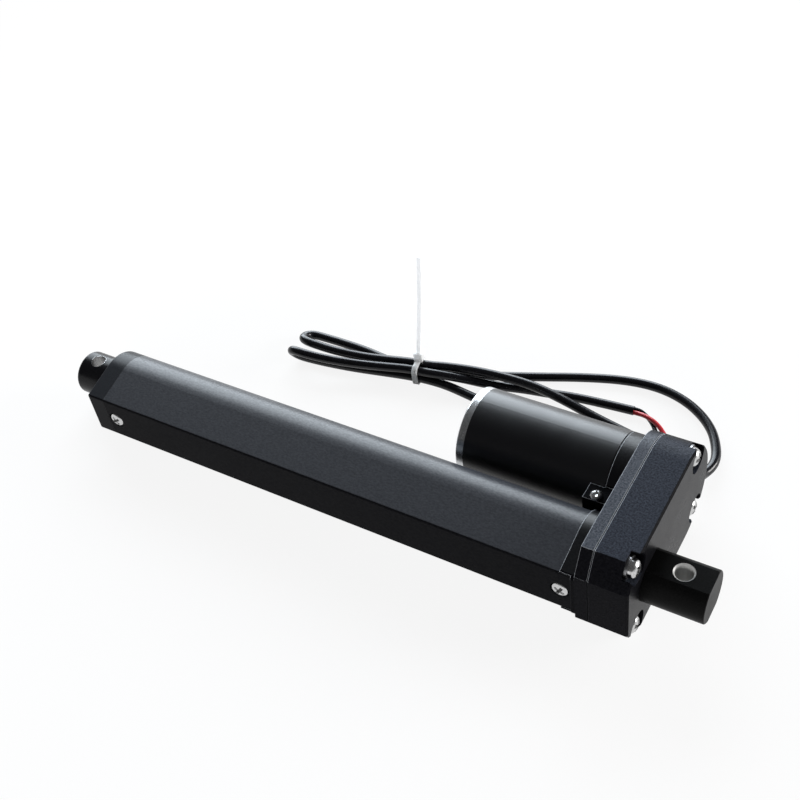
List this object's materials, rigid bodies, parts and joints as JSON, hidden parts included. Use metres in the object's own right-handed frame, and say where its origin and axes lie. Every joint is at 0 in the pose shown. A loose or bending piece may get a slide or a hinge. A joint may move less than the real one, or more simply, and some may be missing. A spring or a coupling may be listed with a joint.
{
  "type": "electric linear actuator",
  "caption": "Small electric linear actuator with a rod in an extruded tube, a motor beside it, a gear housing, pivot holes at both ends and a tied power cable.",
  "frame": {"origin": "centre of the rear pivot hole, on the axis of the rod", "axes": "+X along the rod towards its tip, +Z along the pivot holes, motor on the -Y side; the rod is drawn in"},
  "size_m": [0.273, 0.1215, 0.0717],
  "materials": {
    "housing": "satin black powder coat with a fine grain",
    "tube": "dark grey anodised, satin",
    "cap": "satin black",
    "clevis": "satin black",
    "rod": "smooth anodised",
    "can": "gloss black",
    "plated": "bright zinc plate",
    "steel": "plain machined steel",
    "screw_steel": "nickel plated",
    "bronze": "sintered bronze",
    "copper": "enamelled copper",
    "acetal": "plain white acetal",
    "dark_plastic": "moulded",
    "ferrite": "sintered ferrite",
    "iron": "stacked sheet",
    "board": "lacquered board",
    "seal": "matt black rubber",
    "jacket": "smooth black vinyl",
    "red": "red vinyl",
    "nylon": "natural nylon",
    "graphite": "carbon"
  },
  "bodies": {
    "frame": {"rear_clevis": "clevis", "thrust_bush": "bronze", "gear_housing_rear": "housing", "gear_housing_front": "housing", "housing_gasket": "seal", "housing_screws": "screw_steel", "screw_washers": "screw_steel", "outer_tube": "tube", "side_screws": "screw_steel", "clamp_screw": "screw_steel", "front_cap": "cap", "rod_wiper": "seal", "front_bush": "acetal", "idler_pin": "steel", "bearing_outer_ring": "steel", "bearing_balls": "plated", "bearing_circlip": "steel", "motor_can": "can", "motor_end_cap": "plated", "motor_bushes": "bronze", "motor_screws": "screw_steel", "motor_magnets": "ferrite", "brush_plate": "dark_plastic", "motor_brushes": "graphite", "limit_board": "board", "limit_switches": "dark_plastic", "cable_grommet": "seal", "power_cable": "jacket", "red_core": "red", "black_core": "jacket", "cable_tie": "nylon"},
    "rod": {"extension_rod": "rod", "rod_tip": "rod", "tip_pin": "steel", "drive_nut": "acetal"},
    "screw": {"lead_screw": "steel", "screw_gear": "steel", "screw_tip_guide": "acetal", "bearing_inner_ring": "steel"},
    "idler": {"idler_gear": "acetal"},
    "armature": {"motor_shaft": "steel", "motor_pinion": "bronze", "armature_core": "iron", "armature_windings": "copper", "commutator": "copper"},
    "retract_button": {"retract_plunger": "acetal"},
    "extend_button": {"extend_plunger": "acetal"}
  },
  "joints": [
    {"name": "motor_spin", "type": "hinge", "parent": "frame", "child": "armature", "pos_m": [0, -0.0356, 0], "axis": [-1, 0, 0], "range_deg": [0, 106071.43]},
    {"name": "idler_spin", "type": "hinge", "parent": "frame", "child": "idler", "pos_m": [0, -0.0176, 0], "axis": [-1, 0, 0], "range_deg": [-38572.43, 0]},
    {"name": "screw_spin", "type": "hinge", "parent": "frame", "child": "screw", "pos_m": [0, 0, 0], "axis": [-1, 0, 0], "range_deg": [0, 18001]},
    {"name": "rod_slide", "type": "slide", "parent": "frame", "child": "rod", "axis": [1, 0, 0], "range_m": [0, 0.15]},
    {"name": "retract_press", "type": "slide", "parent": "frame", "child": "retract_button", "axis": [-1, 0, 0], "range_m": [0, 0.0006], "stiffness_N_per_m": 300},
    {"name": "extend_press", "type": "slide", "parent": "frame", "child": "extend_button", "axis": [1, 0, 0], "range_m": [0, 0.0006], "stiffness_N_per_m": 300}
  ],
  "couplings": [
    {"joint": "idler_spin", "follows": "motor_spin", "ratio": -0.36364},
    {"joint": "screw_spin", "follows": "motor_spin", "ratio": 0.1697},
    {"joint": "rod_slide", "follows": "motor_spin", "m_per_rad": 0.000081024}
  ]
}
